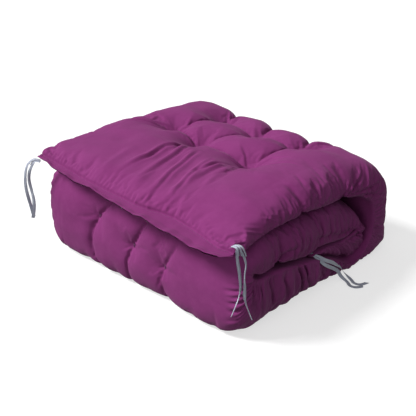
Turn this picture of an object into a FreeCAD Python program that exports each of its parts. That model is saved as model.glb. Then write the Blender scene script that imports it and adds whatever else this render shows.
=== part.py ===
import FreeCAD, Part
import math
import os

# Folded tufted futon mattress, 70 cm wide, about 2 m long when flat.
# X runs along the folded depth, Y along the width, Z up. Millimetres.
# The origin is on the floor under the middle of the folded mattress.

V = FreeCAD.Vector
os.makedirs("parts", exist_ok=True)

# ---- driving dimensions ----
WIDTH = 696.0            # cover width across the mattress
PAD_T = 95.0             # pad thickness
HINGE_X = 265.0          # inner face of the upright wall section
TOP_Z = 305.0            # crown of the folded stack
INNER_TOP_Z = 210.0      # underside of the top section at the wall
FREE_END_X = -312.0      # sewn root of the free end hem
FREE_END_Z = 257.0       # underside of the top section at its free end
FOLD_X = -285.0          # face of the closed fold
FOLD_ROOT_X = -185.0     # where the closed fold meets the flat sections
BODY_GAP = 0.4           # clearance between sections that hinge apart
REST_GAP = 1.5           # the top section rests this far above the stack
COVER_T = 2.0            # cover cloth with its wadding scrim
EDGE_R = 22.0            # rounding of the side edges
HEM_T = 4.0              # flat sewn hem
THREAD_R = 1.2           # tufting thread
TIE_R = 2.0              # gathered ribbon of a tie
TIE_MIN_R = 3.0 * 2.0 * TIE_R
STITCH_PITCH = 13.0
STITCH = (7.0, 1.2, 1.0)
TUFT_Y = (170.0, 30.0, -110.0)   # tuft columns across the width

HALF_W = WIDTH / 2.0
WALL_X = HINGE_X + PAD_T
WALL_LOW_Z = PAD_T


def save(name, shape):
    shape.exportStep("parts/" + name + ".step")
    print(name, "solids", len(shape.Solids), "valid", shape.isValid(), "cm3", round(shape.Volume / 1e3, 1))


def rounded_wire(corners, y):
    """Closed wire in a plane of constant y, each corner (x, z, radius)."""
    n = len(corners)
    cuts = []
    for i in range(n):
        x, z, r = corners[i]
        p = V(x, y, z)
        a = V(corners[i - 1][0], y, corners[i - 1][1])
        b = V(corners[(i + 1) % n][0], y, corners[(i + 1) % n][1])
        if r <= 0.0:
            cuts.append((p, None, p))
            continue
        da = (a - p).normalize()
        db = (b - p).normalize()
        half = da.getAngle(db) / 2.0
        run = r / math.tan(half)
        mid = (da + db).normalize()
        centre = p + mid * (r / math.sin(half))
        cuts.append((p + da * run, centre - mid * r, p + db * run))
    edges = []
    for i in range(n):
        start, through, end = cuts[i]
        if through is not None:
            edges.append(Part.Arc(start, through, end).toShape())
        nxt = cuts[(i + 1) % n][0]
        if end.distanceToPoint(nxt) > 1e-6:
            edges.append(Part.LineSegment(end, nxt).toShape())
    return Part.Wire(edges)


def shrink(corners, t):
    """Corners moved inwards by t, with their radii reduced to suit."""
    face = [V(x, 0, z) for x, z, r in corners]
    n = len(face)
    area = sum(face[i].x * face[(i + 1) % n].z - face[(i + 1) % n].x * face[i].z for i in range(n))
    sign = 1.0 if area > 0 else -1.0
    out = []
    for i in range(n):
        before = (face[i] - face[i - 1]).normalize()
        after = (face[(i + 1) % n] - face[i]).normalize()
        n1 = V(-before.z * sign, 0, before.x * sign)
        n2 = V(-after.z * sign, 0, after.x * sign)
        m = (n1 + n2).normalize()
        p = face[i] + m * (t / max(0.2, m.dot(n1)))
        r = corners[i][2]
        out.append((p.x, p.z, max(r - t, 0.0)))
    return out


def prism(corners, half_width, edge_r):
    """Extrude the profile across the width and round the two side faces."""
    wire = rounded_wire(corners, -half_width)
    solid = Part.Face(wire).extrude(V(0, 2.0 * half_width, 0))
    if edge_r <= 0.0:
        return solid
    rims = []
    for e in solid.Edges:
        box = e.BoundBox
        if box.YLength < 1e-3 and abs(abs(box.YMin) - half_width) < 1e-3:
            rims.append(e)
    return solid.makeFillet(edge_r, rims)


def section(name, corners, half_width=HALF_W, edge_r=EDGE_R):
    """One sewn section: a closed cloth cover and the cotton fill inside it."""
    outer = prism(corners, half_width, edge_r)
    inner = prism(shrink(corners, COVER_T), half_width - COVER_T, max(edge_r - COVER_T, 0.0))
    save("cover_" + name, outer.cut(inner))
    save("fill_" + name, inner)
    return outer


def threads(name, places, length, direction):
    """A group of tufting threads, one straight thread through the pad at each place."""
    group = [Part.makeCylinder(THREAD_R, length, V(*p), V(*direction)) for p in places]
    save("tuft_threads_" + name, Part.makeCompound(group))


def under_top(x):
    """Underside of the top section."""
    slope = (FREE_END_Z - INNER_TOP_Z) / (HINGE_X - FREE_END_X)
    return INNER_TOP_Z + (HINGE_X - x) * slope


def stack_top(x):
    return under_top(x) - REST_GAP


# ---- sections fixed to the bottom of the fold ----
END_X = HINGE_X - BODY_GAP
BOTTOM = [
    (FOLD_ROOT_X, 0, 0), (END_X, 0, 0), (END_X, PAD_T - BODY_GAP, 0), (FOLD_ROOT_X, 110, 0),
]
CLOSED_FOLD = [
    (FOLD_ROOT_X, 0, 0), (FOLD_ROOT_X, stack_top(FOLD_ROOT_X), 0), (-268, stack_top(-268), 45),
    (FOLD_X, 125, 150), (-270, 0, 45),
]
MIDDLE = [
    (FOLD_ROOT_X, stack_top(FOLD_ROOT_X), 0), (FOLD_ROOT_X, 160, 0), (5, 131, 200),
    (240, 150, 20), (228, 196, 24), (150, stack_top(150), 60),
]
TUCKED = [
    (18, 107, 1.0), (18, 121, 1.0), (60, 132, 30), (236, 148, 14), (252, 130, 14),
    (250, 99, 12), (100, 103, 60),
]
section("bottom", BOTTOM)
section("closed_fold", CLOSED_FOLD)
section("middle", MIDDLE, HALF_W, 16.0)
section("tucked_end", TUCKED, HALF_W - 8.0, 0.0)

threads("bottom", [(x, y, 6) for x in (-90, 75, 215) for y in TUFT_Y], 84, (0, 0, 1))
threads("closed_fold", [(FOLD_X + 14, y, 122) for y in TUFT_Y], 80, (1, 0, 0))
threads("middle", [(x, y, 160) for x in (-90, 70) for y in TUFT_Y], 54, (0, 0, 1))

# ---- the upright wall and its two soft corners ----
WALL_Z0 = WALL_LOW_Z + BODY_GAP
WALL_Z1 = INNER_TOP_Z - BODY_GAP
WALL = [(HINGE_X, WALL_Z0, 0), (WALL_X, WALL_Z0, 0), (WALL_X, WALL_Z1, 0), (HINGE_X, WALL_Z1, 0)]
section("upright", WALL)
threads("upright", [(HINGE_X + 7, y, 150) for y in TUFT_Y], PAD_T - 14, (1, 0, 0))


def soft_corner(name, centre_z, up):
    """Quarter round where the mattress turns, between the wall and a flat section."""
    radius = PAD_T - 0.6

    def quarter(r, shift, half_width):
        x0 = HINGE_X + 0.2 + shift
        z0 = centre_z + up * (0.2 + shift)
        c = V(HINGE_X, 0, centre_z)
        far_x = HINGE_X + math.sqrt(r * r - (0.2 + shift) ** 2)
        far_z = centre_z + up * math.sqrt(r * r - (0.2 + shift) ** 2)
        y = -half_width
        k = r / math.sqrt(2.0)
        arc = Part.Arc(V(far_x, y, z0), V(c.x + k, y, centre_z + up * k), V(x0, y, far_z)).toShape()
        down = Part.LineSegment(V(x0, y, far_z), V(x0, y, z0)).toShape()
        back = Part.LineSegment(V(x0, y, z0), V(far_x, y, z0)).toShape()
        return Part.Face(Part.Wire([arc, down, back])).extrude(V(0, 2.0 * half_width, 0))

    outer = quarter(radius, 0.0, HALF_W - 6.0)
    inner = quarter(radius - COVER_T, COVER_T, HALF_W - 6.0 - COVER_T)
    save("cover_" + name, outer.cut(inner))
    save("fill_" + name, inner)


soft_corner("upper_corner", INNER_TOP_Z, 1.0)
soft_corner("lower_corner", WALL_LOW_Z, -1.0)

# ---- the top section ----
TOP = [
    (HINGE_X, INNER_TOP_Z, 0), (HINGE_X, TOP_Z, 0), (-190, TOP_Z, 120), (-262, 288, 60),
    (FREE_END_X, 268, 1.0), (FREE_END_X, FREE_END_Z, 1.0),
]
section("top", TOP, HALF_W, 0.0)
threads("top", [(x, y, under_top(x) + 6) for x in (60, 215) for y in TUFT_Y], 68, (0, 0, 1))

# ---- hems, closing stitches ----
HEM_Z = 260.5
HEM_EDGE = [(-305, 347), (-318, 280), (-336, 120), (-346, -60), (-357, -220), (-360, -300), (-346, -338), (-318, -347)]


def plate(points, z0, thickness):
    corners = [V(x, y, z0) for x, y in points]
    return Part.Face(Part.makePolygon(corners + [corners[0]])).extrude(V(0, 0, thickness))


hem_points = [(FREE_END_X + 0.0, -347)] + [(min(x, FREE_END_X - 0.5), y) for x, y in reversed(HEM_EDGE)]
hem_points.append((FREE_END_X + 0.0, 347))
save("free_end_hem", plate(hem_points, HEM_Z, HEM_T))
save("tucked_end_hem", plate([(-5, -338), (18, -338), (18, 338), (-5, 338)], 110.0, 3.4))


def stitches(name, x, z, half_length, lean):
    """A row of hand stitches, each a short thread lying on the hem."""
    group = []
    count = int(2 * half_length / STITCH_PITCH)
    for i in range(count + 1):
        y = -half_length + i * STITCH_PITCH
        one = Part.makeBox(STITCH[1], STITCH[0], STITCH[2], V(-STITCH[1] / 2, -STITCH[0] / 2, 0))
        one.rotate(V(0, 0, 0), V(0, 0, 1), lean if i % 2 else -lean)
        one.translate(V(x, y, z))
        group.append(one)
    save(name, Part.makeCompound(group))


stitches("free_end_closing_stitch", FREE_END_X - 3.4, HEM_Z + HEM_T, 325.0, 8.0)
stitches("tucked_end_closing_stitch", 10.0, 113.4, 318.0, 8.0)

# ---- ribbon ties ----


def block(name, centre, size, r):
    corner = V(*centre) - V(*size) * 0.5
    solid = Part.makeBox(size[0], size[1], size[2], corner)
    save(name, solid.makeFillet(r, solid.Edges))


block("far_tie_tab", (-309, 354, 265), (16, 10, 8), 1.5)
block("near_tie_knot", (-309, -357.5, 266), (20, 17, 10), 3.0)
block("inner_tie_tab", (9, -343, 108.0), (14, 10, 3.6), 1.0)


def route_wire(name, points):
    """Straight runs joined by tangent arcs, each as large as its two runs allow."""
    p = [V(*q) for q in points]
    edges = []
    here = p[0]
    length = 0.0
    radii = []
    for i in range(1, len(p) - 1):
        a = p[i - 1] - p[i]
        b = p[i + 1] - p[i]
        run = min(a.Length, b.Length)
        a.normalize()
        b.normalize()
        turn = math.pi - a.getAngle(b)
        radius = 0.45 * run / math.tan(turn / 2.0)
        radii.append(radius)
        start = p[i] + a * (0.45 * run)
        end = p[i] + b * (0.45 * run)
        inward = (a + b).normalize()
        centre = p[i] + inward * (radius / math.cos(turn / 2.0))
        through = centre - inward * radius
        edges.append(Part.LineSegment(here, start).toShape())
        edges.append(Part.Arc(start, through, end).toShape())
        here = end
    edges.append(Part.LineSegment(here, p[-1]).toShape())
    length = sum(e.Length for e in edges)
    print(name, "radii", [round(r, 1) for r in radii], "least", round(min(radii), 1), "wanted", TIE_MIN_R)
    print(name, "runs", [round((p[i + 1] - p[i]).Length, 1) for i in range(len(p) - 1)], "length", round(length, 1))
    return Part.Wire(edges), length


def tail(name, points):
    wire, length = route_wire(name, points)
    first = V(*points[1]) - V(*points[0])
    ring = Part.Wire([Part.Circle(V(*points[0]), first, TIE_R).toShape()])
    solid = wire.makePipeShell([ring], True, True)
    print(name, "volume ratio", round(solid.Volume / (math.pi * TIE_R ** 2 * length), 4))
    save(name, solid)


tail("far_tie_outer_tail", [
    (-313, 357, 265), (-321, 366, 259), (-326, 372, 243), (-329, 377, 218), (-330, 379, 186),
    (-327, 376, 152), (-322, 372, 118), (-318, 371, 90),
])
tail("far_tie_inner_tail", [
    (-314, 352, 260.6), (-319, 357, 249), (-325, 362, 232), (-327, 365, 208), (-324, 362, 179),
    (-321, 358, 146), (-323, 361, 112), (-326, 365, 92),
])
tail("near_tie_left_tail", [
    (-314, -359, 261), (-312, -358, 238), (-308, -361, 210), (-306, -364, 180), (-306, -366, 152),
    (-311, -360, 124), (-319, -352, 90),
])
tail("near_tie_right_tail", [
    (-304, -360, 261), (-299, -367, 244), (-297, -374, 223), (-300, -371, 198), (-300, -373, 171),
    (-301, -372, 143), (-296, -377, 112), (-287, -386, 78),
])
tail("inner_tie_front_tail", [
    (9, -348, 108), (13, -358, 97), (27, -364, 82), (52, -365, 69), (80, -365, 53),
    (102, -366, 34), (114, -370, 17), (119, -380, 6), (117, -395, 2.6), (110, -409, 2.2),
    (115, -425, 2.2), (134, -432, 2.2),
])
tail("inner_tie_back_tail", [
    (5, -348, 107), (7, -357.5, 93), (18, -364, 75), (41, -365.5, 61), (68, -366, 46),
    (90, -367, 28), (100, -371, 13), (103, -381, 4.5), (100, -394, 2.4), (94, -408, 2.2),
    (97, -423, 2.2), (111, -434, 2.2),
])
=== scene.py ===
import math
import bpy
import numpy as np
from mathutils import Matrix, Vector, noise


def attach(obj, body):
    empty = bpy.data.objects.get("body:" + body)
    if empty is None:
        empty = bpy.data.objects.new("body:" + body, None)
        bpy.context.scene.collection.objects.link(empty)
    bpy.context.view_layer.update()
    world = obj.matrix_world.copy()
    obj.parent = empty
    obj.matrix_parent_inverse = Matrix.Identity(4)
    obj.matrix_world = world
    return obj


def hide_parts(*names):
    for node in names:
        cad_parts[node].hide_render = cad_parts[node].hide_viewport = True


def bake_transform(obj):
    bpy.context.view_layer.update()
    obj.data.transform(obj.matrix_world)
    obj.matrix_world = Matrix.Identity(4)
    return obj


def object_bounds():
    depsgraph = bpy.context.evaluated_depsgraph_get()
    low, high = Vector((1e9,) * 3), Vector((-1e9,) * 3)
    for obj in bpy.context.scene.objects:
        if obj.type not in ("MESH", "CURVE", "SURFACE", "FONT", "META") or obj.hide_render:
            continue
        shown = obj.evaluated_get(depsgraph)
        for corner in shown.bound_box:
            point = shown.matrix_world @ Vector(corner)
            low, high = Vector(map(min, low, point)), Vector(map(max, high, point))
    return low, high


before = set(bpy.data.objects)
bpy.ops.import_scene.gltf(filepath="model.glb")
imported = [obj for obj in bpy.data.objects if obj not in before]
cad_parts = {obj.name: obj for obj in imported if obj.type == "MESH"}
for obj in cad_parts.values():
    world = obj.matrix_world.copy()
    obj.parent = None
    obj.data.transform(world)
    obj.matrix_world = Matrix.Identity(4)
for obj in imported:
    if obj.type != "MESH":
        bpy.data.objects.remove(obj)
CAD_BOX = [list(c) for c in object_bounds()]

# ---- camera ----
AZIMUTH = -47.8
ELEVATION = 27.75
CAM_POS = (-1.5623, -1.3860, 1.1876)
SENSOR_MM = 36.0
LENS_MM = 73.7654
SHIFT = (0.015625, 0.027404)


def link(obj):
    bpy.context.scene.collection.objects.link(obj)


def make_camera():
    cam = bpy.data.cameras.new("camera")
    obj = bpy.data.objects.new("camera", cam)
    link(obj)
    cam.sensor_width = SENSOR_MM
    cam.lens = LENS_MM
    cam.shift_x, cam.shift_y = SHIFT
    a, e = math.radians(AZIMUTH), math.radians(ELEVATION)
    back = Vector((math.sin(a) * math.cos(e), -math.cos(a) * math.cos(e), math.sin(e)))
    right = Vector((math.cos(a), math.sin(a), 0.0))
    up = back.cross(right)
    turn = Matrix((right, up, back)).transposed().to_4x4()
    obj.matrix_world = Matrix.Translation(CAM_POS) @ turn
    cam.clip_start = 0.05
    cam.clip_end = 50.0
    bpy.context.scene.camera = obj


make_camera()

# ---- materials ----


def new_material(name):
    m = bpy.data.materials.new(name)
    m.use_nodes = True
    tree = m.node_tree
    tree.nodes.clear()
    out = tree.nodes.new("ShaderNodeOutputMaterial")
    bsdf = tree.nodes.new("ShaderNodeBsdfPrincipled")
    tree.links.new(bsdf.outputs["BSDF"], out.inputs["Surface"])
    return m, tree, bsdf


def put(tree, n, inputs):
    """Set a node's inputs, each from a value or from another node's output."""
    for key, value in inputs.items():
        if isinstance(value, bpy.types.NodeSocket):
            tree.links.new(value, n.inputs[key])
        else:
            n.inputs[key].default_value = value


def node(tree, kind, inputs, **props):
    n = tree.nodes.new(kind)
    for key, value in props.items():
        setattr(n, key, value)
    put(tree, n, inputs)
    return n


def mix_colour(tree, factor, a, b, mode="MIX"):
    n = tree.nodes.new("ShaderNodeMix")
    n.data_type = "RGBA"
    n.blend_type = mode
    put(tree, n, {0: factor, 6: a, 7: b})
    return n.outputs[2]


PURPLE = (0.215, 0.033, 0.155, 1.0)
PURPLE_DEEP = (0.190, 0.026, 0.135, 1.0)
PURPLE_NAP = (0.250, 0.045, 0.185, 1.0)


def cover_material():
    m, t, bsdf = new_material("peach_skin_cloth")
    coord = t.nodes.new("ShaderNodeTexCoord")
    pos = coord.outputs["Object"]
    patches = node(t, "ShaderNodeTexNoise", {"Vector": pos, "Scale": 9.0, "Detail": 4.0, "Roughness": 0.55})
    nap = node(t, "ShaderNodeTexNoise", {"Vector": pos, "Scale": 60.0, "Detail": 5.0, "Roughness": 0.6})
    fine = node(t, "ShaderNodeTexNoise", {"Vector": pos, "Scale": 900.0, "Detail": 2.0})
    ramp = node(t, "ShaderNodeMapRange", {"Value": patches.outputs["Fac"], "From Min": 0.3, "From Max": 0.7})
    colour = mix_colour(t, ramp.outputs["Result"], PURPLE_DEEP, PURPLE)
    nap_in = node(t, "ShaderNodeMapRange", {"Value": nap.outputs["Fac"], "From Min": 0.45, "From Max": 0.75,
                                            "To Max": 0.35})
    colour = mix_colour(t, nap_in.outputs["Result"], colour, PURPLE_NAP)
    rough = node(t, "ShaderNodeMapRange", {"Value": nap.outputs["Fac"], "To Min": 0.78, "To Max": 0.95})
    put(t, bsdf, {"Base Color": colour, "Roughness": rough.outputs["Result"], "Sheen Weight": 0.10,
                  "Sheen Roughness": 0.45, "Sheen Tint": (0.85, 0.45, 0.75, 1.0), "Specular IOR Level": 0.15})
    warp = node(t, "ShaderNodeTexWave", {"Vector": pos, "Scale": 330.0, "Distortion": 1.5, "Detail": 1.0},
                wave_type="BANDS", bands_direction="DIAGONAL")
    height = node(t, "ShaderNodeMath", {0: warp.outputs["Fac"], 1: fine.outputs["Fac"]}, operation="ADD")
    creases = node(t, "ShaderNodeTexNoise", {"Vector": pos, "Scale": 26.0, "Detail": 3.0, "Distortion": 0.6})
    bump1 = node(t, "ShaderNodeBump", {"Height": creases.outputs["Fac"], "Strength": 0.25, "Distance": 0.004})
    bump2 = node(t, "ShaderNodeBump", {"Height": height.outputs["Value"], "Strength": 0.12,
                                       "Distance": 0.0004, "Normal": bump1.outputs["Normal"]})
    t.links.new(bump2.outputs["Normal"], bsdf.inputs["Normal"])
    return m


def ribbon_material():
    m, t, bsdf = new_material("grey_blue_ribbon")
    coord = t.nodes.new("ShaderNodeTexCoord")
    uv = coord.outputs["UV"]
    ribs = node(t, "ShaderNodeTexWave", {"Vector": uv, "Scale": 330.0, "Distortion": 0.4},
                wave_type="BANDS", bands_direction="X")
    lines = node(t, "ShaderNodeTexWave", {"Vector": uv, "Scale": 90.0, "Distortion": 0.2},
                 wave_type="BANDS", bands_direction="Y")
    patch = node(t, "ShaderNodeTexNoise", {"Vector": coord.outputs["Object"], "Scale": 45.0, "Detail": 3.0})
    colour = mix_colour(t, patch.outputs["Fac"], (0.33, 0.36, 0.46, 1), (0.58, 0.61, 0.72, 1))
    dark = node(t, "ShaderNodeMapRange", {"Value": lines.outputs["Fac"], "To Min": 0.55, "To Max": 1.0})
    colour = mix_colour(t, 0.35, colour, dark.outputs["Result"], "MULTIPLY")
    both = node(t, "ShaderNodeMath", {0: ribs.outputs["Fac"], 1: lines.outputs["Fac"]}, operation="ADD")
    bump = node(t, "ShaderNodeBump", {"Height": both.outputs["Value"], "Strength": 0.35, "Distance": 0.0004})
    put(t, bsdf, {"Base Color": colour, "Roughness": 0.5, "Sheen Weight": 0.25, "Specular IOR Level": 0.35,
                  "Normal": bump.outputs["Normal"]})
    return m


def thread_material():
    m, t, bsdf = new_material("purple_thread")
    coord = t.nodes.new("ShaderNodeTexCoord")
    twist = node(t, "ShaderNodeTexWave", {"Vector": coord.outputs["Object"], "Scale": 700.0,
                                          "Distortion": 2.0})
    colour = mix_colour(t, twist.outputs["Fac"], (0.10, 0.02, 0.08, 1), (0.22, 0.06, 0.18, 1))
    bump = node(t, "ShaderNodeBump", {"Height": twist.outputs["Fac"], "Strength": 0.4, "Distance": 0.0003})
    put(t, bsdf, {"Base Color": colour, "Roughness": 0.7, "Normal": bump.outputs["Normal"]})
    return m


CLOTH = cover_material()
RIBBON = ribbon_material()
THREAD = thread_material()

# ---- fold profile ----
# Each row is one station along the mattress, from its free end on top, round the
# upright wall, under the bottom, round the closed fold, and back to the tucked end:
# outer face (x, z) and inner face (x, z) in mid width, then the same at the near
# side edge.  Millimetres in the frame's axes.
PROFILE = [
    # hem of the free end
    ((-345, 264), (-345, 261), (-345, 263), (-345, 260)),
    ((-313, 264.5), (-313, 261), (-313, 263.5), (-313, 260)),
    # top section
    ((-307, 275), (-305, 258), (-307, 272), (-305, 257)),
    ((-296, 284), (-288, 255), (-296, 279), (-288, 256)),
    ((-268, 294), (-260, 251), (-268, 288), (-260, 255)),
    ((-222, 300), (-215, 247), (-222, 294), (-215, 254)),
    ((-170, 305), (-170, 243), (-170, 300), (-170, 254)),
    ((-100, 304), (-100, 239), (-100, 301), (-100, 253)),
    ((-30, 300), (-30, 234), (-30, 298), (-35, 250)),
    ((40, 297), (40, 228), (40, 292), (30, 240)),
    ((110, 294), (110, 222), (110, 285), (95, 229)),
    ((180, 290), (172, 217), (178, 276), (145, 219)),
    ((240, 284), (220, 213), (228, 263), (185, 208)),
    # upper corner
    ((292, 273), (244, 208), (278, 254), (215, 198)),
    ((330, 248), (257, 200), (320, 232), (235, 186)),
    ((351, 210), (262, 188), (348, 200), (250, 172)),
    # upright wall
    ((357, 165), (264, 160), (360, 164), (258, 152)),
    ((356, 120), (264, 130), (359, 120), (260, 125)),
    # lower corner
    ((352, 70), (262, 110), (364, 62), (258, 98)),
    ((338, 26), (256, 101), (370, 8), (256, 84)),
    ((300, 3), (245, 97), (336, -4), (250, 68)),
    # bottom section
    ((252, 1), (224, 95), (262, 1), (232, 40)),
    ((180, 0), (165, 95), (186, 0), (176, 18)),
    ((90, 0), (90, 98), (92, 0), (88, 62)),
    ((0, 0), (5, 103), (0, 0), (2, 98)),
    ((-90, 0), (-80, 114), (-90, 0), (-86, 122)),
    ((-170, 0), (-150, 127), (-174, 0), (-170, 141)),
    # closed fold
    ((-246, 0), (-190, 138), (-262, -3), (-222, 146)),
    ((-286, 17), (-205, 147), (-300, 11), (-236, 150)),
    ((-295, 66), (-211, 151), (-305, 58), (-244, 156)),
    ((-294, 122), (-213, 155), (-301, 117), (-250, 160)),
    ((-287, 178), (-212, 159), (-289, 178), (-254, 166)),
    ((-264, 221), (-207, 163), (-266, 221), (-252, 173)),
    ((-226, 242), (-188, 165), (-226, 242), (-232, 165)),
    # middle section
    ((-150, 238), (-130, 160), (-150, 238), (-170, 158)),
    ((-70, 232), (-60, 153), (-75, 234), (-96, 146)),
    ((10, 226), (10, 149), (0, 228), (-20, 125)),
    ((80, 220), (72, 149), (65, 224), (60, 117)),
    ((140, 213), (118, 149), (118, 217), (118, 106)),
    # rolled end
    ((192, 202), (160, 147), (172, 178), (160, 104)),
    ((230, 177), (186, 143), (218, 130), (186, 110)),
    ((249, 145), (197, 137), (246, 82), (196, 106)),
    ((247, 115), (190, 131), (258, 34), (186, 100)),
    # tucked end
    ((222, 99), (168, 127), (246, 6), (150, 96)),
    ((150, 97.5), (125, 124), (176, 20), (104, 100)),
    ((80, 99), (70, 119), (92, 68), (60, 108)),
    ((22, 104), (22, 112), (20, 101), (20, 109)),
    ((-4, 108), (-4, 111), (-6, 104), (-6, 107)),
]
# the rows of PROFILE where each stretch starts, and one on the top that looks straight up
HEM_EDGE, HEM_ROOT, PAD_START, ON_TOP = 0, 1, 2, 7
CORNER_UP, WALL_AT, CORNER_DOWN, BOTTOM_AT = 13, 16, 18, 21
FOLD_AT, MIDDLE_AT, ROLL_AT, TUCK_AT, LAST = 27, 34, 39, 43, 47
# outer face (x, z) of the upper corner at the far side, which is squarer
FAR_CORNER = {12: (240, 286), 13: (302, 279), 14: (344, 260), 15: (358, 222)}
HALF_W = 0.348
STEP = 0.0065            # spacing of the cloth's grid before it is made finer
NEAR_SWELL = 0.013       # how far the near side of the lower layers stands out


def smooth(x, lo, hi):
    w = np.clip((x - lo) / (hi - lo), 0.0, 1.0)
    return w * w * (3.0 - 2.0 * w)


def spline(knots, values, at):
    """Cubic (Catmull-Rom on uneven knots) through the values."""
    knots = np.asarray(knots, float)
    values = np.asarray(values, float)
    slope = np.gradient(values, knots, axis=0)
    i = np.clip(np.searchsorted(knots, at, side="right") - 1, 0, len(knots) - 2)
    h = knots[i + 1] - knots[i]
    u = (at - knots[i]) / h
    u, h = u[:, None], h[:, None]
    a = (2 * u**3 - 3 * u**2 + 1) * values[i] + (u**3 - 2 * u**2 + u) * h * slope[i]
    b = (-2 * u**3 + 3 * u**2) * values[i + 1] + (u**3 - u**2) * h * slope[i + 1]
    return a + b


def stations():
    rows = np.array(PROFILE, float) / 1000.0
    far = rows[:, 0].copy()
    for i, p in FAR_CORNER.items():
        far[i] = np.array(p) / 1000.0
    run = sum(np.linalg.norm(np.diff(rows[:, k], axis=0), axis=1) for k in (0, 1))
    knots = np.concatenate([[0], np.cumsum(run)]) / 2.0
    knots = knots / knots[-1]
    everything = np.concatenate([rows.reshape(len(rows), -1), far], axis=1)
    grid = np.linspace(0, 1, 4000)
    dense = spline(knots, everything, grid)
    mid = (dense[:, 0:2] + dense[:, 4:6]) / 2
    length = np.concatenate([[0], np.cumsum(np.linalg.norm(np.diff(mid, axis=0), axis=1))])
    count = int(length[-1] / STEP)
    at = np.linspace(0, length[-1], count + 1)
    out = np.stack([np.interp(at, length, dense[:, k]) for k in range(dense.shape[1])], axis=1)
    marks = np.interp(knots, grid, length)
    return at, out, marks


S, LINE, MARK = stations()


def ring_profile():
    """Points round one cross section: place across -1..1, height 0..1, distance from the seam; outer flag."""
    th = np.linspace(0, math.pi, 1200)
    y = np.sign(np.cos(th)) * np.abs(np.cos(th)) ** (2 / 13.0)
    h = np.abs(np.sin(th)) ** (2 / 2.3)
    real = np.stack([y * HALF_W, h * 0.085], axis=1)
    length = np.concatenate([[0], np.cumsum(np.linalg.norm(np.diff(real, axis=0), axis=1))])
    count = int(length[-1] / STEP)
    at = np.linspace(0, length[-1], count + 1)
    from_seam = np.minimum(at, length[-1] - at)
    outer = np.stack([np.interp(at, length, y), np.interp(at, length, h), from_seam], axis=1)
    inner_y = np.linspace(-1, 1, 41)[1:-1]
    inner = np.stack([inner_y, inner_y * 0, (1 - np.abs(inner_y)) * HALF_W], axis=1)
    flags = np.concatenate([np.ones(len(outer)), np.zeros(len(inner))])
    return np.concatenate([outer, inner]), flags


RING, OUTER = ring_profile()
YN = RING[:, 0]
HN = RING[:, 1]
SEAM_D = RING[:, 2]
# the free end in plan: its hem's edge, then its closing seam
EDGE_Y = [-0.348, -0.335, -0.30, -0.225, -0.107, 0.023, 0.096, 0.188, 0.283, 0.348]
EDGE_X = [-0.318, -0.346, -0.357, -0.354, -0.346, -0.340, -0.329, -0.331, -0.315, -0.303]
ROOT_Y = [-0.348, -0.308, -0.238, -0.204, -0.146, -0.109, -0.075, -0.037,
          0.014, 0.093, 0.13, 0.28, 0.348]
ROOT_X = [-0.312, -0.322, -0.308, -0.303, -0.297, -0.301, -0.311, -0.316,
          -0.315, -0.313, -0.314, -0.300, -0.293]


def base_grid():
    """Undecorated surface, one row per station and one column per ring point."""
    near = smooth(-YN, 0.45, 1.0)[None, :, None]
    far = smooth(YN, -0.2, 0.9)[None, :, None]
    om, im, on, inn, of = (LINE[:, None, 2 * k:2 * k + 2] for k in range(5))
    outer = om + (on - om) * near + (of - om) * far
    inner = im + (inn - im) * near
    side = smooth(YN, 0.6, 1.0)[None, :, None]
    inner = inner + (0.5 * (inn - im)) * side
    xz = inner + (outer - inner) * HN[None, :, None]
    low = smooth(S, MARK[CORNER_UP], MARK[CORNER_DOWN])
    low = low * (1 - smooth(S, MARK[FOLD_AT + 5], MARK[MIDDLE_AT + 2]))
    y = (YN * HALF_W)[None, :] - (NEAR_SWELL * smooth(-YN, 0.3, 1.0))[None, :] * low[:, None]
    return np.stack([xz[..., 0], y, xz[..., 1]], axis=2)


def outward_normals(grid):
    """Unit normals of the grid, turned so that the middle of the top section looks up."""
    ds = np.gradient(grid, axis=0)
    dt = np.roll(grid, -1, axis=1) - np.roll(grid, 1, axis=1)
    n = np.cross(ds, dt)
    n /= np.maximum(np.linalg.norm(n, axis=2, keepdims=True), 1e-9)
    middle = int(np.argmin(np.abs(YN) + (OUTER < 0.5)))
    return -n if n[np.searchsorted(S, MARK[ON_TOP]), middle, 2] < 0 else n


GRID = base_grid()
NORMAL = outward_normals(GRID)


def s_at(lo, hi, axis, value):
    """Station length where the outer face in mid width crosses a coordinate."""
    a, b = np.searchsorted(S, MARK[lo]), np.searchsorted(S, MARK[hi])
    line = LINE[a:b, axis]
    return float(S[a + int(np.argmin(np.abs(line - value)))])


def flat_fields():
    """Every grid point in the flat cloth: along, across, arc from the middle, seam distance; outer flag."""
    along, across = np.meshgrid(S, YN * HALF_W, indexing="ij")
    seam = np.broadcast_to(SEAM_D[None, :], along.shape)
    half = SEAM_D.max()
    arc = np.broadcast_to((np.sign(YN) * (half - SEAM_D))[None, :], along.shape)
    return along, across, arc, seam, np.broadcast_to(OUTER[None, :], along.shape)


S_GRID, Y_ARC, T_ARC, D_SEAM, IS_OUTER = flat_fields()


def span(lo, hi, soft=0.02):
    """1 between two stations, fading outside."""
    starts = smooth(S_GRID, MARK[lo] - soft, MARK[lo] + soft)
    return starts * (1 - smooth(S_GRID, MARK[hi] - soft, MARK[hi] + soft))


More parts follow.
